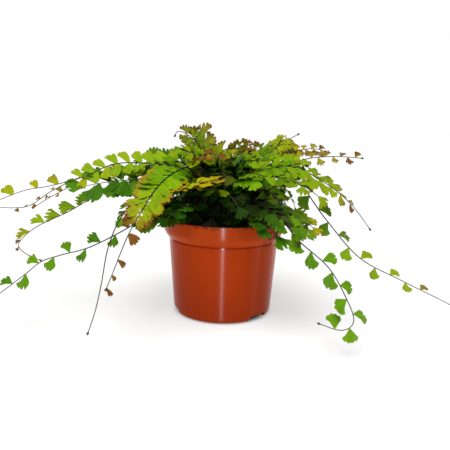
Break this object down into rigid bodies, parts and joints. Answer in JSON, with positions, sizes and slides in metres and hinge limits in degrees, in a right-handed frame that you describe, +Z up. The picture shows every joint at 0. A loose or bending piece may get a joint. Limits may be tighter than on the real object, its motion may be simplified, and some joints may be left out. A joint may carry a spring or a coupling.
{
  "type": "potted trailing maidenhair fern",
  "caption": "Trailing maidenhair fern with arching fronds of fan-shaped leaflets, growing in a round flared nursery pot with a collar and a channelled foot.",
  "frame": {"origin": "centre of the pot's flat foot, on the surface it stands on", "axes": "+Z up along the pot's axis, -Y towards the front of the plant, X along its longest spread"},
  "size_m": [0.4453, 0.2754, 0.184],
  "materials": {
    "pot": "gloss",
    "soil": "matte",
    "stalk": "satin",
    "leaf_bright": "satin",
    "leaf_green": "satin",
    "leaf_dark": "satin",
    "leaf_tinged": "satin"
  },
  "bodies": {
    "root": {"pot": "pot", "potting_soil": "soil", "crown": "stalk", "frond_left_1": "leaf_bright", "frond_left_2": "leaf_tinged", "frond_left_3": "leaf_tinged", "frond_left_4": "leaf_dark", "frond_left_5": "leaf_dark", "frond_left_6": "leaf_green", "frond_front_1": "leaf_bright", "frond_front_2": "leaf_green", "frond_front_3": "leaf_bright", "frond_front_4": "leaf_bright", "frond_front_5": "leaf_dark", "frond_front_6": "leaf_dark", "frond_front_7": "leaf_dark", "frond_front_8": "leaf_green", "frond_front_9": "leaf_green", "frond_right_1": "leaf_bright", "frond_right_2": "leaf_bright", "frond_right_3": "leaf_green", "frond_right_4": "leaf_green", "frond_right_5": "leaf_tinged", "frond_right_6": "leaf_tinged", "frond_top_1": "leaf_tinged", "frond_top_2": "leaf_tinged", "frond_top_3": "leaf_bright", "frond_top_4": "leaf_green", "frond_top_5": "leaf_tinged", "frond_top_6": "leaf_green", "frond_top_7": "leaf_green", "frond_top_8": "leaf_bright", "frond_back_1": "leaf_green", "frond_back_2": "leaf_green", "frond_back_3": "leaf_green", "frond_back_4": "leaf_green", "frond_back_5": "leaf_green", "frond_back_6": "leaf_green", "frond_back_7": "leaf_green", "frond_back_8": "leaf_green", "frond_back_9": "leaf_green", "frond_back_10": "leaf_green", "frond_back_11": "leaf_green", "frond_back_12": "leaf_green", "frond_inner_1": "leaf_dark", "frond_inner_2": "leaf_dark", "frond_inner_3": "leaf_dark", "frond_inner_4": "leaf_dark", "frond_inner_5": "leaf_dark", "frond_inner_6": "leaf_dark", "frond_inner_7": "leaf_dark", "frond_inner_8": "leaf_dark", "frond_inner_9": "leaf_dark", "frond_inner_10": "leaf_dark", "frond_inner_11": "leaf_dark"}
  },
  "joints": []
}
